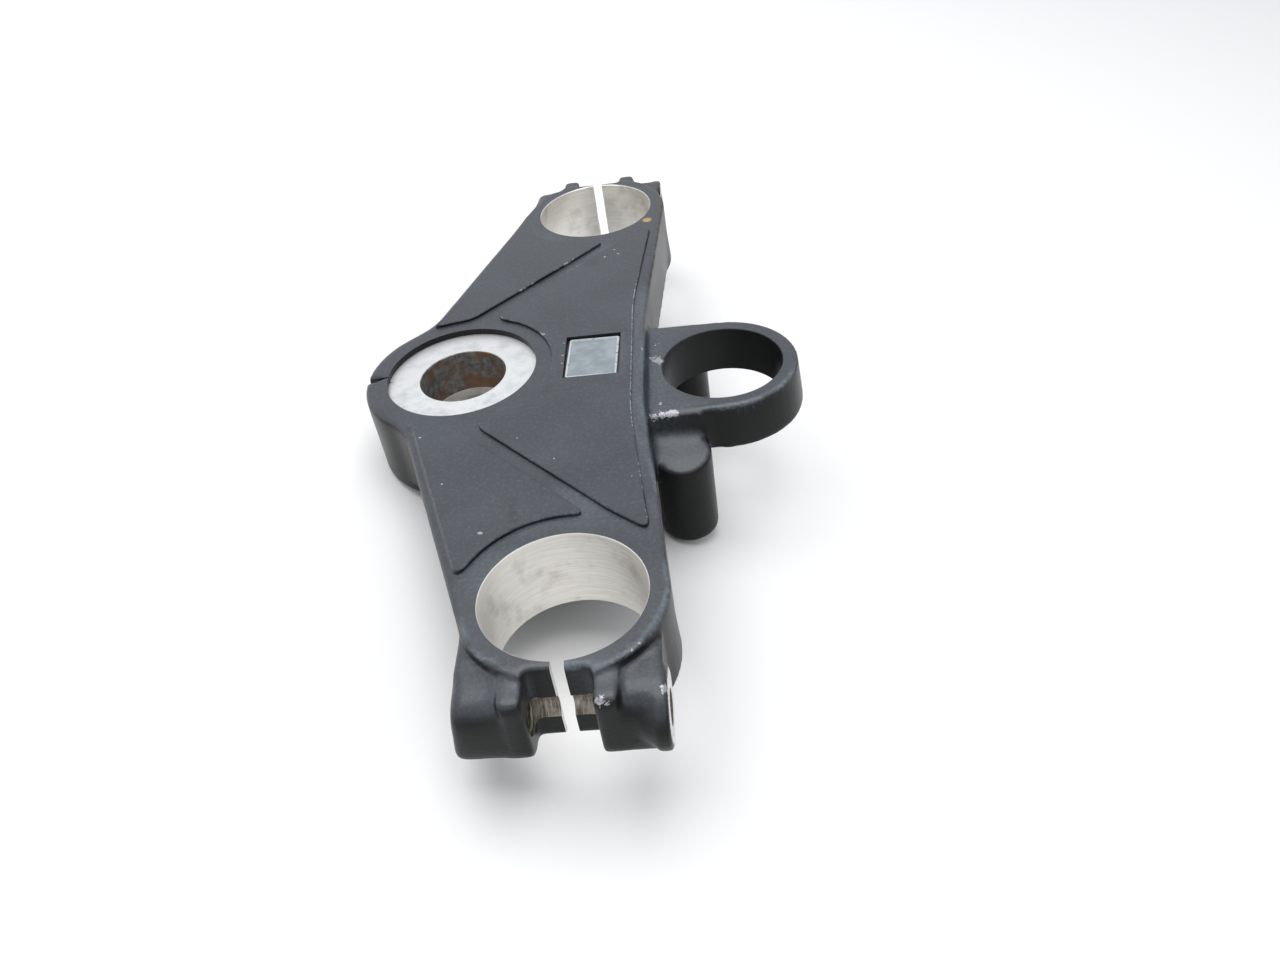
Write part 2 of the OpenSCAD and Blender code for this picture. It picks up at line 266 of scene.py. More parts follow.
def above(value, low, full):
    """0 where value is less than low, 1 where it is more than full, both in mm."""
    return fade(value, low * MM, full * MM)


def below(value, full, high):
    """1 where value is less than full, 0 where it is more than high, both in mm."""
    return fade(-value, -high * MM, -full * MM)


# How far each place of the deck lies inside the outer wall, as seen from above
RIM_DEPTH = 5 * MM
co, normal, _ = mesh_arrays(casting.data)
x, y, z = np.abs(co[:, 0]), co[:, 1], co[:, 2]
from_fork = np.hypot(x - fork_at.x, y - fork_at.y)
is_wall = (np.abs(normal[:, 2]) < 0.4) & (z > TOP_Z - RIM_DEPTH) & (z < TOP_Z - 3.5 * MM)
walls, wall_facing = co[is_wall], normal[is_wall]
outer_wall = KDTree(len(walls))
for i, (wx, wy, _) in enumerate(walls):
    outer_wall.insert((wx, wy, 0), i)
outer_wall.balance()
near_edge = np.zeros(len(co))
for i in np.flatnonzero(z > TOP_Z - RIM_DEPTH):
    near_edge[i] = outer_wall.find((co[i, 0], co[i, 1], 0))[2]
on_deck = fade(z, TOP_Z - RIM_DEPTH, TOP_Z - 3 * MM)
inside = above(near_edge, 2.5, 5) * on_deck

# The mould's roundings, place by place. First all over, and least on the deck's flat middle
FLAT_SHARE = 0.15
relax(casting.data, FLAT_SHARE + (1 - FLAT_SHARE) * (1 - inside), 4)

# The deck's outer edge, all round but at the clamps and the arm
lug = fade(x, fork_at.x + 19 * MM, fork_at.x + 24 * MM)
edge_band = on_deck * (1 - inside) * (1 - lug) * above(from_fork, 25, 34) * below(y, 61, 63)
relax(casting.data, edge_band, 22)

# The lugs: soft edges and filled corners, and most of all the rear lugs' well rounded corners
relax(casting.data, lug * below(z, -2, 1), 5)
relax(casting.data, lug, 14, fill_only=True)
rear_lug = lug * below(y, 23.5, 25.5)
relax(casting.data, rear_lug, 75)

# The collars' outer rim
collar_rim = on_deck * (1 - inside) * fade(x, fork_at.x, fork_at.x + 8 * MM)
relax(casting.data, collar_rim, 8)

# The arm of the lock ring: filled where it leaves the wall, and round at its foot and its creases
arm_root = above(y, 57, 60) * below(y, 80, 88) * below(x, 42, 48)
relax(casting.data, arm_root, 60, fill_only=True)
relax(casting.data, arm_root * below(z, -9, -6), 8)
from_lock = np.hypot(x, y - lock_at.y)
from_post = np.hypot(x - post.x, y - post.y)
ring_foot = above(y, 66, 70) * below(z, -17, -14)
ring_foot *= fade(from_lock, lock_r, lock_r + MM) * above(from_post, 10, 13)
relax(casting.data, ring_foot, 22)
arm_crease = above(y, 67, 71) * below(y, 82, 88) * above(x, 19, 21)
arm_crease *= below(z, -8, -5.5) * above(z, -19, -16) * below(x, 27, 30)
relax(casting.data, arm_crease, 60)

# The necks of the posts run out into the wall and the ring
post_neck = above(y, 70, 74) * below(z, -18, -15) * above(x, 18, 22)
relax(casting.data, post_neck, 90, fill_only=True)

# The deck's raised panels: cast in one with the bridge, 1 mm proud of it, with sloping sides and edges
# that are nearly sharp. Each follows the outline of a panel of the solid, kept clear of the outer wall.
RING_STEP = 0.6 * MM
EDGE_ROUND = 0.25 * MM
PAD_INSET = 2.8 * MM
PAD_SLOPE = 1.3 * MM
pads = bmesh.new()
pad_places, pad_wear = [], []


def even(line):
    """The closed line with points at even steps."""
    closed = np.concatenate([line, line[:1]])
    reached = np.concatenate([[0], np.cumsum(np.linalg.norm(np.diff(closed, axis=0), axis=1))])
    wanted = np.linspace(0, reached[-1], int(reached[-1] / RING_STEP), endpoint=False)
    return np.stack([np.interp(wanted, reached, closed[:, i]) for i in (0, 1)], 1)


def softened(line, passes):
    """Rounds the corners of a closed line."""
    for _ in range(passes):
        line = line + ((np.roll(line, 1, 0) + np.roll(line, -1, 0)) / 2 - line) * 0.5
    return line


def side_of(a, b, c):
    """Which side of the line from a to b each c lies on, as a signed area."""
    along, off = b - a, c - a
    return along[..., 0] * off[..., 1] - along[..., 1] * off[..., 0]


def untied(line):
    """Drops the small loops where a closed line crosses itself."""
    while True:
        here, there = line[:, None], np.roll(line, -1, 0)[:, None]
        a, b = line[None], np.roll(line, -1, 0)[None]
        crossing = ((side_of(here, there, a) * side_of(here, there, b) < 0)
                    & (side_of(a, b, here) * side_of(a, b, there) < 0))
        pairs = np.argwhere(np.triu(crossing, 2))
        if not len(pairs):
            return line
        first, last = pairs[np.argmin(np.minimum(pairs[:, 1] - pairs[:, 0],
                                                 len(line) - (pairs[:, 1] - pairs[:, 0])))]
        if last - first < len(line) / 2:
            line = np.delete(line, np.s_[first + 1:last + 1], 0)
        else:
            line = line[first + 1:last + 1]


def depth_in(line):
    """How deep each point lies inside the casting's outer wall, and the way out to that wall."""
    depth, out = np.empty(len(line)), np.empty((len(line), 2))
    for i, (lx, ly) in enumerate(line):
        place, index, _ = outer_wall.find((lx, ly, 0))
        out[i] = Vector(wall_facing[index][:2]).normalized()
        depth[i] = (place.to_2d() - Vector((lx, ly))).dot(Vector(out[i]))
    return depth, out


def moved_in(line, inset, steps=4):
    """The line moved inwards by inset, in small steps, so that tight corners stay untied."""
    for _ in range(steps):
        onward = np.roll(line, -1, 0) - np.roll(line, 1, 0)
        inward = np.stack([-onward[:, 1], onward[:, 0]], 1) / np.linalg.norm(onward, axis=1)[:, None]
        line = softened(line + inward * inset / steps, 1)
    return line


PAD_SKIRT_Z = TOP_Z - 0.8 * MM
for outline in pad_outlines:
    line = softened(even(np.array(outline)), 14)
    depth, out = depth_in(line)
    line -= out * np.maximum(PAD_INSET - depth, 0)[:, None]
    upper = softened(even(untied(line)), 12)
    depth, out = depth_in(upper)
    by_wall = fade(-depth, -PAD_INSET - 1.2 * MM, -PAD_INSET - 0.3 * MM)[:, None]
    rings = []
    for inset, z_ring, worn in ((-PAD_SLOPE * softened(by_wall, 6), PAD_SKIRT_Z, 0),
                                (0, PAD_Z - EDGE_ROUND, 1),
                                (EDGE_ROUND, PAD_Z, 1), (2 * EDGE_ROUND, PAD_Z, 0)):
        rings.append([pads.verts.new((lx, ly, z_ring)) for lx, ly in moved_in(upper, inset)])
        pad_places += [tuple(v.co) for v in rings[-1]]
        pad_wear += [worn] * len(rings[-1])
    for lower, higher in zip(rings, rings[1:]):
        for i in range(len(lower)):
            k = (i + 1) % len(lower)
            pads.faces.new((lower[i], lower[k], higher[k], higher[i]))
    pads.faces.new(rings[0])
    pads.faces.new(rings[-1])
pads.normal_update()
bmesh.ops.triangulate(pads, faces=[f for f in pads.faces if len(f.verts) > 4],
                      ngon_method="EAR_CLIP")

# Wear and dust of the casting: paint is rubbed off where an edge stands out, mostly where keys, tools
# and bars touch it, and dust stays in the hollows. The listed scuffed edges get the dust's light blue-grey:
# scuffed paint with a painted highlight along the edge. Places are in mm, with how far each reaches.
RUBBED = [(-40, 56, 3, 16), (-20, 55.2, 3, 16), (0, 55.3, 3, 14), (18, 55.4, 3, 12), (34, 55.8, 3, 12),
          (-10, 55.3, 3, 12), (9, 55.3, 3, 12), (26, 55.6, 3, 11), (4, 55.3, 3, 9),
          (62, 59, 3, 10), (24, 90, -4.5, 13), (15, 103, -4.5, 10), (24, 74, -4.5, 7),
          (-17, 62, -1, 8), (25, 64, -4.5, 7), (109, 65, 2, 8), (120, 58, 2, 8), (127, 46, 2, 8),
          (127.7, 34, 2, 5), (136, 51, 0, 5), (133, 64, -8, 7), (-58, 31, 3, 9), (-47, 18, 3, 6),
          (-28, 9, 3, 3), (-15, 26, 3, 3), (12, 49, 3, 6), (-9, 34, 3, 5), (79, 60, 3, 5)]
DUSTY = [(0, 61, -4, 16), (20, 63, -6, 15), (31, 65, -12, 12), (-22, 63, -6, 15), (71, 41, 2, 15),
         (79, 29, 2, 8), (-72, 41, 2, 12), (-84, 22, 2, 9), (126, 49, -4, 9), (130, 28, -4, 8),
         (-78, 59.4, 2, 5), (-30, 58.5, 1, 15), (-10, 59.5, 1, 15), (10, 59.5, 1, 15), (28, 59.5, 1, 13),
         (48, 61, 1, 12), (0, 58, 2, 18), (-20, 58, 2, 16), (22, 58, 2, 16), (96, 24, 2, 16),
         (76, 58, 1, 9)]
SCUFFS_AND_EDGE_HIGHLIGHTS = [(100, 67, 2, 7), (109, 65, 2, 8), (116, 62, 2, 8), (122, 56, 2, 8), (126.5, 50, 2, 8),
           (128, 42, 2, 6), (120, 24, 2, 8), (112, 18, 2, 7), (-28, 56, 2, 20), (30, 56, 2, 20),
           (0, 56, 2, 20), (60, 59, 2, 14), (25, 88, -4.5, 16), (14, 103, -4.5, 12)]
co, normal, edge = mesh_arrays(casting.data)
bend = ((neighbours_mean(co, edge) - co) * normal).sum(1) / VOXEL


def near(places, spots):
    """1 at the middle of each listed place and 0 at its reach and beyond."""
    share = np.zeros(len(places))
    for *spot, reach in spots:
        share = np.maximum(share, 1 - np.linalg.norm(places / MM - spot, axis=1) / reach)
    return fade(share, 0, 0.8)


hollow = fade(neighbours_mean(bend[:, None], edge)[:, 0], 0.01, 0.12)
dust_and_edge_highlight = np.maximum(near(co, DUSTY) * (0.35 + 0.65 * hollow), 0.3 * hollow)
# Painted highlight: convex edges near the listed scuffs are lightened like dust, over scuffed paint
dust_and_edge_highlight = np.maximum(dust_and_edge_highlight, near(co, SCUFFS_AND_EDGE_HIGHLIGHTS) * fade(-bend, 0.004, 0.05) * 0.8)
proud = np.concatenate([fade(-bend, 0.03, 0.16), pad_wear])
dust_and_edge_highlight = np.concatenate([dust_and_edge_highlight, np.zeros(len(pad_wear))])
co = np.concatenate([co, pad_places])
rubbed = proud * (0.3 + 0.7 * near(co, RUBBED))

# The fine mesh is thinned where it is flat, and joined with the raised panels. Its old vertices stay
# at hand, to give wear, dust and the painted edge highlight to the new ones
KEPT_SHARE = 0.26
FLAT = 0.02
before = KDTree(len(co))
for i, place in enumerate(co):
    before.insert(place, i)
before.balance()
curved = (np.abs(bend) > FLAT).astype(float)
curved = (neighbours_mean(curved[:, None], edge)[:, 0] > 0).astype(float)
free = casting.vertex_groups.new(name="free")
free.add([int(i) for i in np.flatnonzero(curved == 0)], 1, "REPLACE")
with_modifier(casting, "DECIMATE", ratio=KEPT_SHARE, vertex_group="free", vertex_group_factor=0.02)
casting.vertex_groups.clear()
pad_tool = mesh_from(pads, "raised_pads")
with_modifier(casting, "BOOLEAN", operation="UNION", object=pad_tool, solver="MANIFOLD")
bpy.data.objects.remove(pad_tool)

# Nothing reaches below the feet of the posts
for vertex in casting.data.vertices:
    vertex.co.z = max(vertex.co.z, cad_box[0][2])

# The machine shop's cuts in the cast bridge, each with its own tool. The fork bores, the stem nut's seat,
# the sawn slits, the bolt seats and the drilled holes are cut after painting, so their metal is bare.
# The lock ring's bore, the plate's recess and the notch behind the boss are cut before it.
SEAT_R = 24.3 * MM
BOSS_R = 31.5 * MM
RELIEF_TOP_Z = -14.5 * MM
SLIT_HALF = 1.7 * MM
BOLT_SEAT_R = 10 * MM
NOTCH_HALF = 1.9 * MM
NOTCH_Z = -6 * MM
CHAMFER = 0.22 * MM
PITCH = 1.25 * MM
THREAD_DEPTH = 0.55 * MM
UP = (0, 0, 1)
RUN_OUT = 0.4 * MM
BELOW = CLAMP_FOOT_Z - 3 * MM
bolt_face = pinch.y + 8.5 * MM


def threaded(bm, centre, axis, radius, low, high, sides=36):
    """A closed bar with a screw thread standing out of it."""
    turn = Vector(axis).to_track_quat("Z", "Y").to_matrix()
    rows = round((high - low) / PITCH * 4)
    rings = []
    for j in range(rows + 1):
        height = low + (high - low) * j / rows
        ring = []
        for i in range(sides):
            rise = 1 - abs(2 * ((height / PITCH - i / sides) % 1) - 1)
            r = radius + THREAD_DEPTH * rise
            angle = 2 * math.pi * i / sides
            spot = turn @ Vector((r * math.cos(angle), r * math.sin(angle), height))
            ring.append(bm.verts.new(Vector(centre) + spot))
        rings.append(ring)
    for lower, upper in zip(rings, rings[1:]):
        for i in range(sides):
            k = (i + 1) % sides
            bm.faces.new((lower[i], lower[k], upper[k], upper[i]))
    bm.faces.new(rings[0])
    bm.faces.new(rings[-1])


def cut(names, shapes=()):
    """Cuts named holes and further shapes, none of which touch each other, out of the casting."""
    bm = bmesh.new()
    hole_rods(bm, names, 0, RUN_OUT)
    for shape, *sizes in shapes:
        shape(bm, *sizes)
    tool = mesh_from(bm, "tool")
    with_modifier(casting, "BOOLEAN", operation="DIFFERENCE", object=tool, solver="MANIFOLD")
    bpy.data.objects.remove(tool)


def both(low, high):
    """The two mirror places of a block given for the right-hand side."""
    (x0, y0, z0), (x1, y1, z1) = low, high
    return [(block, (x0, y0, z0), (x1, y1, z1)), (block, (-x1, y0, z0), (-x0, y1, z1))]


def threads(hole):
    """Threaded bars for the right-hand and left-hand hole of that name."""
    bars = []
    for side in ("right", "left"):
        mount, low, high = HOLES[hole + "_" + side]
        m = mounts[mount]
        bars.append((threaded, m["pos_m"], m["axis"], m["dims"]["r_mm"] * MM,
                     low * MM - RUN_OUT, high * MM + RUN_OUT))
    return bars


def notch(bm, tip_y, back_y):
    """An upright wedge that widens from its tip to the back of the boss's rim."""
    places = ((0, tip_y), (-NOTCH_HALF, back_y), (NOTCH_HALF, back_y))
    low, high = [[bm.verts.new((x, y, z)) for x, y in places] for z in (NOTCH_Z, TOP_Z + 2 * MM)]
    bm.faces.new(low)
    bm.faces.new(high)
    for i in range(3):
        k = (i + 1) % 3
        bm.faces.new((low[i], low[k], high[k], high[i]))


def rim_cone(x, y, radius, z):
    """A countersink that leaves a chamfer on a bore's upper rim."""
    return (rod, (x, y, z), UP, radius + CHAMFER - MM, -MM, MM, 2 * MM)


cut(["fork_right", "fork_left", "stem", "lock"], threads("post"))
cut([], [(rod, (0, 0, 0), UP, SEAT_R, 0, 5 * MM),
         (rod, (0, 0, 0), UP, RELIEF_R, BOSS_FOOT_Z - MM, RELIEF_TOP_Z),
         rim_cone(fork_at.x, fork_at.y, fork_r, TOP_Z),
         rim_cone(-fork_at.x, fork_at.y, fork_r, TOP_Z)])
cut([], both((fork_at.x, fork_at.y - SLIT_HALF, BELOW),
             (fork_at.x + 40 * MM, fork_at.y + SLIT_HALF, TOP_Z + 3 * MM))
    + [rim_cone(0, 0, stem_r, 0), rim_cone(0, lock_at.y, lock_r, lock_at.z + 8 * MM),
       (notch, -SEAT_R + 1.5 * MM, -BOSS_R - 2 * MM),
       (block, RECESS_LOW, RECESS_HIGH + Vector((0, 0, 3)) * MM)])
cut([], threads("tap")
    + [(rod, (s * pinch.x, bolt_face, pinch.z), (0, 1, 0), BOLT_SEAT_R + 3 * MM, 0, 6 * MM)
       for s in (1, -1)])
cut(["groove_right", "groove_left"])
cut(["pinch_right", "pinch_left"])


# The casting's surfaces: satin black paint outside, and bare aluminium where a tool has cut. First the
# few shader nodes that all of them are made of.
def add(tree, kind, inputs=None, output=0, **settings):
    """Adds a shader node with its inputs set or linked, and gives back one of its outputs."""
    made = tree.nodes.new("ShaderNode" + kind)
    for key, value in settings.items():
        setattr(made, key, value)
    for key, value in (inputs or {}).items():
        plug(tree, made.inputs[key], value)
    return made.outputs[output]


def plug(tree, socket, value):
    """Links an output to the socket, or sets the socket to a plain value."""
    if isinstance(value, bpy.types.NodeSocket):
        tree.links.new(value, socket)
    elif isinstance(value, tuple) and len(socket.default_value) == 4:
        socket.default_value = (*value, 1)
    else:
        socket.default_value = value


def grain(tree, at, size, detail=2, rough=0.5):
    """Cloudy noise from 0 to 1 with clouds of that size."""
    return add(tree, "TexNoise", {"Vector": at, "Scale": 1 / size, "Detail": detail,
                                  "Roughness": rough})


def calc(tree, operation, a, b):
    """One sum of two values."""
    return add(tree, "Math", {0: a, 1: b}, operation=operation)


def step(tree, value, low, high, out_low=0.0, out_high=1.0):
    """Smooth step from out_low to out_high while value goes from low to high."""
    return add(tree, "MapRange", {"Value": value, "From Min": low, "From Max": high,
                                  "To Min": out_low, "To Max": out_high},
               interpolation_type="SMOOTHSTEP")


def mix(tree, share, a, b):
    """Colour a where share is 0 and b where it is 1."""
    return add(tree, "Mix", {0: share, 6: a, 7: b}, 2, data_type="RGBA")


def stretched(tree, at, scale):
    """Places scaled axis by axis, for marks that run one way."""
    return add(tree, "VectorMath", {0: at, 1: Vector(scale)}, operation="MULTIPLY")


def surface(name):
    """A new material, its node tree and the place on the part in metres."""
    made = bpy.data.materials.new(name)
    made.use_nodes = True
    return made, made.node_tree, add(made.node_tree, "TexCoord", output=3)


def finish(tree, colour, metal, rough, height, lift):
    """Sets colour, metal, roughness and bumps, lift metres high, on the shader."""
    shader = tree.nodes["Principled BSDF"]
    plug(tree, shader.inputs["Base Color"], colour)
    plug(tree, shader.inputs["Metallic"], metal)
    plug(tree, shader.inputs["Roughness"], rough)
    plug(tree, shader.inputs["Normal"],
         add(tree, "Bump", {"Height": height, "Distance": lift, "Strength": 1.0}))


# Satin black paint, sprayed over the whole casting: dusty on top, and chipped down to the metal where it
# was knocked. Its colour is painted light and shade: a paler bluish copy on the top and a darker copy on
# the walls. Chips and smudges are places in mm, each with its radius, and so is one dried drop of varnish
# by the far clamp.
CHIPS = [(35.5, -7.7, 3.1, 0.5), (58.2, 2.5, 3.1, 0.5), (40.1, 22.1, 3.1, 0.35), (51.4, 33.9, 3.1, 0.4),
         (62.3, 56.2, 3.1, 0.4), (80, 16, 3.1, 0.9), (-63.2, 44.6, 3.1, 0.7), (-64.5, 49.5, 3.1, 0.5),
         (-67.7, 48, 3.1, 0.5), (-8.3, 33, 3.1, 0.4), (-1.1, 33.1, 3.1, 0.4), (3.3, 33.1, 3.1, 0.4),
         (-28.2, 9, 3.1, 0.7), (-15, 25.9, 3.1, 0.5), (-2.4, 58.7, 2.1, 0.8), (136.4, 49.5, 0, 1.9),
         (137, 51.2, -0.6, 1), (132.2, 63.8, -3, 1.5), (131.8, 64, -4.6, 1.2), (40.4, 66.3, -15.4, 0.8),
         (25.8, 61.9, -4.5, 2.1), (25.4, 64, -4.5, 2.1), (24.9, 66, -4.5, 2), (24.4, 68, -4.5, 1.5),
         (19.6, 63.5, -4.4, 0.8), (-16.2, 61.9, -0.5, 2.2), (-18.5, 64, -2.5, 1.8), (-5, 62.5, -3, 2.6),
         (-3.8, 63.2, -4.2, 2.2), (-14, 62.5, -3, 1.6), (131, 64, -6.5, 1.5), (133.5, 64.2, -9.5, 1.2)]
SMUDGES = [(67.4, 23.4, 3.1, 2.2), (70.5, 23.8, 3.1, 2.2), (73.6, 24.1, 3.1, 2.2), (76.7, 24.5, 3.1, 2.2),
           (79.9, 24.9, 3.1, 2.2), (15.5, 30, 3.1, 2), (17.5, 29, 3.1, 1.8), (-60, 40, 3.1, 4)]
VARNISH_DROP = (-90.4, 59.8, 2.1, 2.2)


def patches(tree, at, spots):
    """1 at the middle of each spot, 0 at its edge, less outside."""
    share = None
    for *spot, size in spots:
        gap = add(tree, "VectorMath", {0: at, 1: Vector(spot) * MM}, 1, operation="DISTANCE")
        left = calc(tree, "SUBTRACT", 1.0, calc(tree, "DIVIDE", gap, size * MM))
        share = calc(tree, "MAXIMUM", share, left) if share else left
    return share


paint, tree, at = surface("satin_black_paint")
clouds = grain(tree, at, 22 * MM, detail=3)
fine = grain(tree, at, 1.1 * MM, detail=3, rough=0.6)
speck = grain(tree, at, 0.35 * MM, detail=2)
normal_z = add(tree, "SeparateXYZ", {0: add(tree, "NewGeometry", output=1)}, 2)
top = step(tree, normal_z, 0.25, 0.95)
dust_and_highlight_share = add(tree, "Attribute", output=2, attribute_name="dust")
wear_share = add(tree, "Attribute", output=2, attribute_name="wear")
# Painted light and shade: a paler bluish colour on faces that point up, a darker copy on the walls
top_colour_painted_light = mix(tree, step(tree, clouds, 0.35, 0.7), (0.022, 0.028, 0.037), (0.031, 0.039, 0.049))
wall_colour_painted_shade = mix(tree, step(tree, clouds, 0.3, 0.7), (0.009, 0.0095, 0.0095), (0.014, 0.0145, 0.0145))
colour = mix(tree, top, wall_colour_painted_shade, top_colour_painted_light)
# Dust, and on the listed convex edges a painted highlight, both a light blue-grey
dust = calc(tree, "MULTIPLY", dust_and_highlight_share, step(tree, fine, 0.3, 0.7, 0.4, 1.0))
colour = mix(tree, calc(tree, "MULTIPLY", dust, 0.8), colour, (0.14, 0.17, 0.195))
colour = mix(tree, step(tree, patches(tree, at, SMUDGES), 0, 0.8, 0, 0.45), colour, (0.006, 0.007, 0.009))
grainy = calc(tree, "MULTIPLY", top, step(tree, fine, 0.45, 0.75, 0, 0.25))
colour = mix(tree, grainy, colour, (0.10, 0.115, 0.13))

# Chips have ragged edges, and rubbed edges go from grey to bare in patches
ragged = calc(tree, "ADD", patches(tree, at, CHIPS),
              calc(tree, "MULTIPLY", calc(tree, "SUBTRACT", fine, 0.5), 2.2))
chip = step(tree, ragged, 0.15, 0.3)
patchy = calc(tree, "MULTIPLY", step(tree, clouds, 0.3, 0.65, 0.35, 1.0),
              step(tree, fine, 0.38, 0.62, 0.3, 1.15))
rub = calc(tree, "MULTIPLY", wear_share, patchy)
bare = calc(tree, "MAXIMUM", chip, step(tree, rub, 0.42, 0.6))
colour = mix(tree, step(tree, rub, 0.08, 0.4, 0, 0.5), colour, (0.12, 0.13, 0.14))
colour = mix(tree, bare, colour, mix(tree, step(tree, speck, 0.35, 0.65), (0.20, 0.205, 0.22),
                                     (0.44, 0.45, 0.47)))

# The drop of varnish, then the sheen: dust dulls it, and the walls have less of it than the top, as painted
# shade
drop = step(tree, patches(tree, at, [VARNISH_DROP]), 0, 0.5, 0, 0.85)
colour = mix(tree, drop, colour, (0.42, 0.27, 0.09))
rough = calc(tree, "ADD", step(tree, top, 0, 1, 0.24, 0.27), calc(tree, "MULTIPLY", clouds, 0.18))
rough = calc(tree, "ADD", rough, calc(tree, "MULTIPLY", dust, 0.2))
height = calc(tree, "ADD", fine, calc(tree, "MULTIPLY", speck, 0.5))
height = calc(tree, "SUBTRACT", height, calc(tree, "MULTIPLY", bare, 1.2))
# Painted shade in the reflection: the walls get a lower specular level than the top
plug(tree, tree.nodes["Principled BSDF"].inputs["Specular IOR Level"], step(tree, top, 0, 1, 0.16, 0.62))
finish(tree, colour, metal=calc(tree, "MULTIPLY", bare, 0.5), rough=rough, height=height, lift=0.07 * MM)

# Bored aluminium, in the fork bores and under the stem: bright and slightly warm, with fine marks of
# the boring bar that run round the bore, and grime in places
bored, tree, at = surface("bored_aluminium")
marks = grain(tree, stretched(tree, at, (0.03, 0.03, 1)), 0.3 * MM, detail=3, rough=0.6)
stains = grain(tree, at, 8 * MM, detail=4, rough=0.6)
colour = mix(tree, step(tree, marks, 0.3, 0.7), (0.76, 0.74, 0.69), (0.90, 0.88, 0.83))
colour = mix(tree, step(tree, stains, 0.5, 0.75, 0, 0.4), colour, (0.36, 0.33, 0.28))
finish(tree, colour, metal=0.85, rough=step(tree, marks, 0.2, 0.8, 0.32, 0.42),
       height=marks, lift=0.004 * MM)

# The turned seat of the stem nut: nearly white, with fine rings left by the tool
turned, tree, at = surface("turned_seat")
from_axis = add(tree, "VectorMath", {0: stretched(tree, at, (1, 1, 0))}, 1, operation="LENGTH")
rings = add(tree, "TexNoise", {"W": from_axis, "Scale": 2600, "Detail": 2}, noise_dimensions="1D")
blotch = grain(tree, at, 7 * MM, detail=4, rough=0.6)
scuff = grain(tree, stretched(tree, at, (1, 0.1, 1)), 0.7 * MM, detail=3)
colour = mix(tree, step(tree, blotch, 0.4, 0.72), (0.70, 0.71, 0.71), (0.52, 0.53, 0.55))
colour = mix(tree, step(tree, scuff, 0.6, 0.75, 0, 0.45), colour, (0.42, 0.42, 0.45))
finish(tree, colour, metal=0.8, rough=step(tree, blotch, 0.3, 0.7, 0.42, 0.55),
       height=rings, lift=0.006 * MM)

# The stem bore's wall: old grease and brown rust marks off the stem
greasy, tree, at = surface("rust_marked_bore")
rust = grain(tree, at, 8 * MM, detail=4, rough=0.62)
spots = grain(tree, at, 2.2 * MM, detail=3, rough=0.6)
colour = mix(tree, step(tree, spots, 0.3, 0.7), (0.13, 0.125, 0.12), (0.30, 0.29, 0.27))
colour = mix(tree, step(tree, rust, 0.44, 0.6, 0, 0.8), colour, (0.25, 0.125, 0.06))
finish(tree, colour, metal=0.5, rough=0.45, height=spots, lift=0.03 * MM)

# Drilled and tapped holes: dull brownish metal, never wiped clean
drilled, tree, at = surface("drilled_aluminium")
blotch = grain(tree, at, 3 * MM, detail=3, rough=0.6)
feed = grain(tree, stretched(tree, at, (0.1, 1, 0.1)), 0.4 * MM)
colour = mix(tree, step(tree, blotch, 0.3, 0.7), (0.10, 0.075, 0.055), (0.32, 0.29, 0.24))
colour = mix(tree, step(tree, feed, 0.5, 0.7, 0, 0.7), colour, (0.46, 0.43, 0.37))
colour = mix(tree, step(tree, feed, 0.42, 0.3, 0, 0.6), colour, (0.09, 0.045, 0.03))
finish(tree, colour, metal=0.6, rough=0.42, height=feed, lift=0.03 * MM)

# The bolts' spot faces and the sawn slits: bright metal, scratched by saw and bolt head
sawn, tree, at = surface("bare_sawn_metal")
scratch = grain(tree, stretched(tree, at, (1, 1, 0.08)), 0.5 * MM, detail=3, rough=0.6)
blotch = grain(tree, at, 4 * MM, detail=3)
colour = mix(tree, step(tree, scratch, 0.35, 0.7), (0.62, 0.62, 0.61), (0.86, 0.86, 0.85))
colour = mix(tree, step(tree, blotch, 0.55, 0.75, 0, 0.5), colour, (0.35, 0.34, 0.32))
finish(tree, colour, metal=0.8, rough=0.38, height=scratch, lift=0.02 * MM)

# Each face of the casting gets its surface from its place, which tells the tool that made it. What no
# tool has cut is paint
faces = casting.data.polygons
middle = np.empty(len(faces) * 3)
faces.foreach_get("center", middle)
facing = np.empty(len(faces) * 3)
faces.foreach_get("normal", facing)
x, y, z = middle.reshape(-1, 3).T
_, ny, nz = np.abs(facing.reshape(-1, 3).T)
x = np.abs(x)
CLOSE = 0.05 * MM
DRILLED_R = 4.6 * MM
TAPPED_R = 4.1 * MM
POST_FOOT_Z = -20 * MM
by_fork = x > fork_at.x / 2
from_fork = np.hypot(x - fork_at.x, y - fork_at.y)
from_stem = np.hypot(x, y)
from_bolt = np.hypot(x - pinch.x, z - pinch.z)
from_post = np.hypot(x - post.x, y - post.y)
TURNED_ON = [
    (bored, by_fork & (from_fork < fork_r + CLOSE) & (nz < 0.3)),
    (bored, by_fork & (from_fork < fork_r + CHAMFER + CLOSE) & (nz > 0.3) & (nz < 0.95)),
    (bored, (from_stem < RELIEF_R + CLOSE) & (z < RELIEF_TOP_Z + CLOSE) & (z > BOSS_FOOT_Z + CLOSE)),
    (turned, (from_stem < SEAT_R) & (np.abs(z) < CLOSE) & (nz > 0.95)),
    (greasy, (from_stem < stem_r + CHAMFER + CLOSE) & (z < 0) & (z > RELIEF_TOP_Z) & (nz < 0.9)),
    (sawn, (x > fork_at.x + fork_r - MM) & (ny > 0.95)
     & (np.abs(np.abs(y - fork_at.y) - SLIT_HALF) < CLOSE)),
    (sawn, by_fork & (from_bolt < BOLT_SEAT_R + MM) & (np.abs(y - bolt_face) < CLOSE) & (ny > 0.95)),
    (drilled, by_fork & (from_bolt < DRILLED_R) & (ny < 0.9)),
    (drilled, (from_post < TAPPED_R) & (z < POST_FOOT_Z) & (nz < 0.9))]
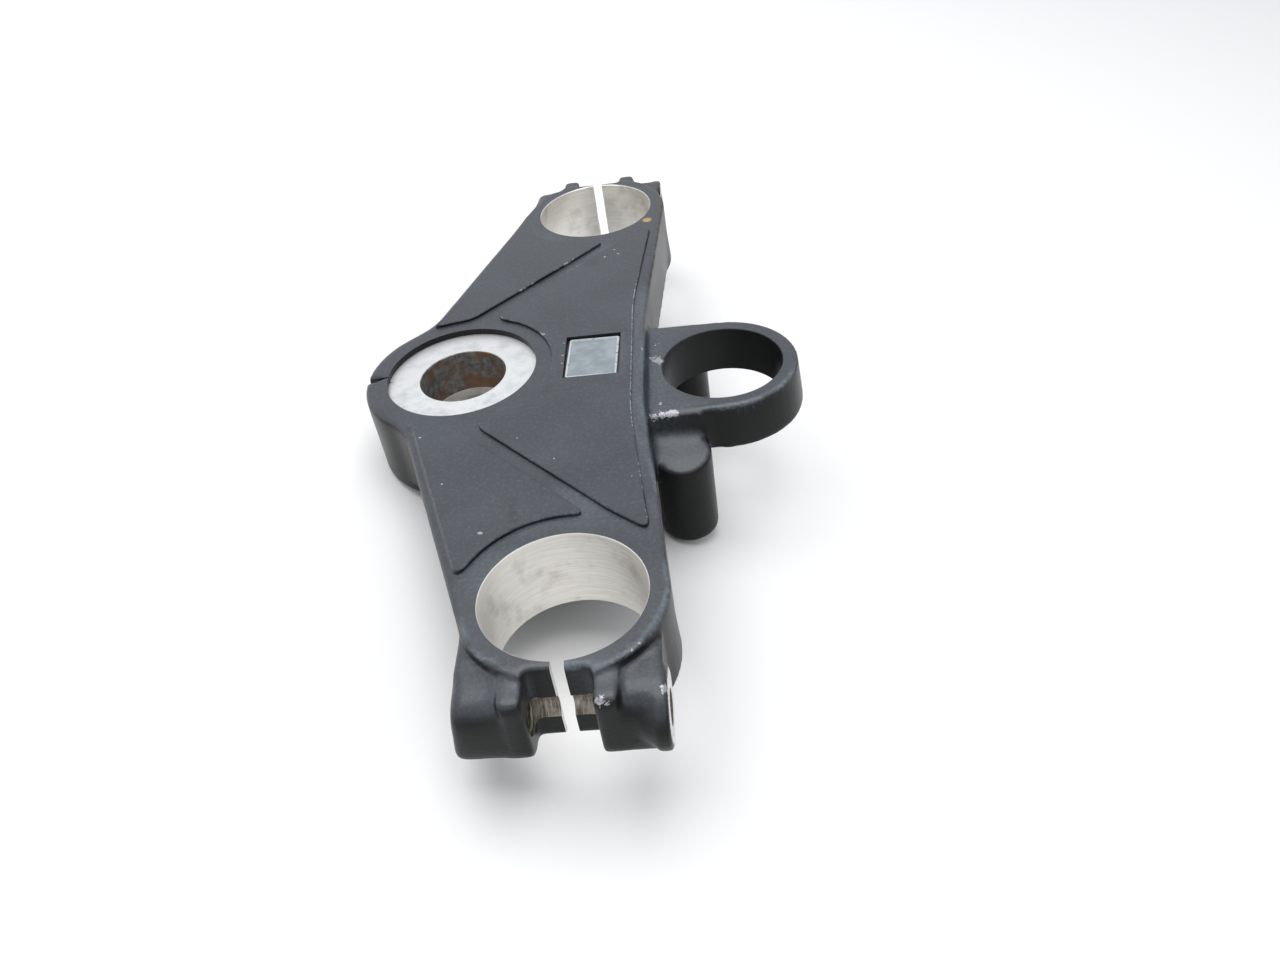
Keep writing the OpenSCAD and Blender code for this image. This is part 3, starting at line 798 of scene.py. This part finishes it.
casting.data.materials.clear()
surface_of = np.zeros(len(faces), np.int32)
for made in (paint, bored, turned, greasy, sawn, drilled):
    casting.data.materials.append(made)
for made, chosen in TURNED_ON:
    surface_of[chosen] = casting.data.materials.find(made.name)
faces.foreach_set("material_index", surface_of)
nearest = [before.find(vertex.co)[1] for vertex in casting.data.vertices]
for name, values in (("wear", rubbed), ("dust", dust_and_edge_highlight)):
    attribute = casting.data.attributes.new(name, "FLOAT", "POINT")
    attribute.data.foreach_set("value", values[nearest])
LEVEL = 0.9999
SHARP = math.radians(35)
faces.foreach_set("use_smooth", ~(nz > LEVEL))
casting.data.set_sharp_from_angle(angle=SHARP)
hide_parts("top_bridge")
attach(casting, "root")

# The name plate: a thin stamped metal plate, glued in its recess a little askew, with a raised
# bright border round a bare blue-grey field. The border stands a quarter of a millimetre proud.
PLATE_AT = Vector((0, 42.7, 1.4)) * MM
PLATE_W = 21.6 * MM
PLATE_D = 16.4 * MM
PLATE_T = 1 * MM
BORDER = 0.85 * MM
STEP_DOWN = 0.22 * MM
EDGE = 0.12 * MM
CORNER_R = 0.9 * MM
CORNER_STEPS = 6
SMALLEST_R = 0.2 * MM
ASKEW = math.radians(-1.5)
plate = bmesh.new()


def plate_ring(inset, z):
    """A ring of vertices round the plate's outline, inset from its edge, at height z."""
    r = max(CORNER_R - inset, SMALLEST_R)
    w, d = PLATE_W / 2 - inset - r, PLATE_D / 2 - inset - r
    ring = []
    for corner, (sx, sy) in enumerate(((1, 1), (-1, 1), (-1, -1), (1, -1))):
        for i in range(CORNER_STEPS + 1):
            angle = math.pi / 2 * (corner + i / CORNER_STEPS)
            spot = Vector((sx * w + r * math.cos(angle), sy * d + r * math.sin(angle), z))
            ring.append(plate.verts.new(PLATE_AT + Matrix.Rotation(ASKEW, 3, "Z") @ spot))
    return ring


plate_rings = [plate_ring(0, 0), plate_ring(0, PLATE_T - EDGE), plate_ring(EDGE, PLATE_T),
               plate_ring(BORDER - EDGE, PLATE_T), plate_ring(BORDER, PLATE_T - STEP_DOWN)]
for lower, upper in zip(plate_rings, plate_rings[1:]):
    for i in range(len(lower)):
        k = (i + 1) % len(lower)
        plate.faces.new((lower[i], lower[k], upper[k], upper[i]))
plate.faces.new(plate_rings[0])
field = plate.faces.new(plate_rings[-1])
field.material_index = 1
name_plate = mesh_from(plate, "name_plate")

border, tree, at = surface("bright_border")
blotch = grain(tree, at, 1.4 * MM, detail=3, rough=0.6)
colour = mix(tree, step(tree, blotch, 0.56, 0.68, 0, 0.8), (0.55, 0.58, 0.61), (0.10, 0.10, 0.105))
finish(tree, colour, metal=0.7, rough=0.4, height=blotch, lift=0.03 * MM)
field_finish, tree, at = surface("blue_grey_field")
haze = grain(tree, at, 5 * MM, detail=3)
brushed = grain(tree, stretched(tree, at, (1, 0.05, 1)), 0.25 * MM)
colour = mix(tree, step(tree, haze, 0.3, 0.7), (0.23, 0.27, 0.295), (0.33, 0.37, 0.395))
colour = mix(tree, step(tree, brushed, 0.45, 0.8, 0, 0.25), colour, (0.48, 0.5, 0.52))
finish(tree, colour, metal=0.6, rough=0.38, height=brushed, lift=0.008 * MM)
name_plate.data.materials.append(border)
name_plate.data.materials.append(field_finish)
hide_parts("badge_plate")
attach(name_plate, "root")

# Floor and lamps: a pale table top, touching the posts and the boss as the part lies, and soft light.
rest_low = Vector((0, -31.5, -24.9)) * MM
rest_front = Vector((0, 61, -44.4)) * MM
slope = (rest_front - rest_low).normalized()
across = Vector((1, 0, 0))
FLOOR_REACH = 4
table = bmesh.new()
table.faces.new([table.verts.new(rest_low + (across * sx + slope * sy) * FLOOR_REACH)
                 for sx, sy in ((-1, -1), (1, -1), (1, 1), (-1, 1))])
floor = mesh_from(table, "floor")
if floor.data.polygons[0].normal.z < 0:
    floor.data.flip_normals()
pale, tree, at = surface("pale_floor")
shader = tree.nodes["Principled BSDF"]
shader.inputs["Base Color"].default_value = (0.86, 0.86, 0.86, 1)
shader.inputs["Roughness"].default_value = 0.7
back = add(tree, "NewGeometry", output=6)
one_sided = add(tree, "MixShader", {0: back, 1: shader.outputs[0], 2: add(tree, "BsdfTransparent")})
tree.links.new(one_sided, tree.nodes["Material Output"].inputs[0])
floor.data.materials.append(pale)

# The room's light is dim near the horizon, brightest half-way up, and a little weaker overhead
studio = bpy.data.worlds.new("studio")
bpy.context.scene.world = studio
studio.use_nodes = True
tree = studio.node_tree
height = add(tree, "SeparateXYZ", {0: add(tree, "TexCoord", output=0)}, 2)
room = mix(tree, step(tree, height, 0, 0.4), (0.36, 0.36, 0.36), (1.0, 1.02, 1.05))
room = mix(tree, step(tree, height, 0.5, 0.85), room, (0.62, 0.63, 0.65))
seen = add(tree, "LightPath", output=0)
plug(tree, tree.nodes["Background"].inputs["Color"], mix(tree, seen, room, (1.0, 1.0, 1.0)))
lamp = bpy.data.objects.new("overhead", bpy.data.lights.new("overhead", "AREA"))
lamp.data.size = 0.9
lamp.data.energy = 7
lamp.location = (-0.08, 0, 0.9)
bpy.context.scene.collection.objects.link(lamp)

bpy.context.scene.view_settings.view_transform = "Standard"
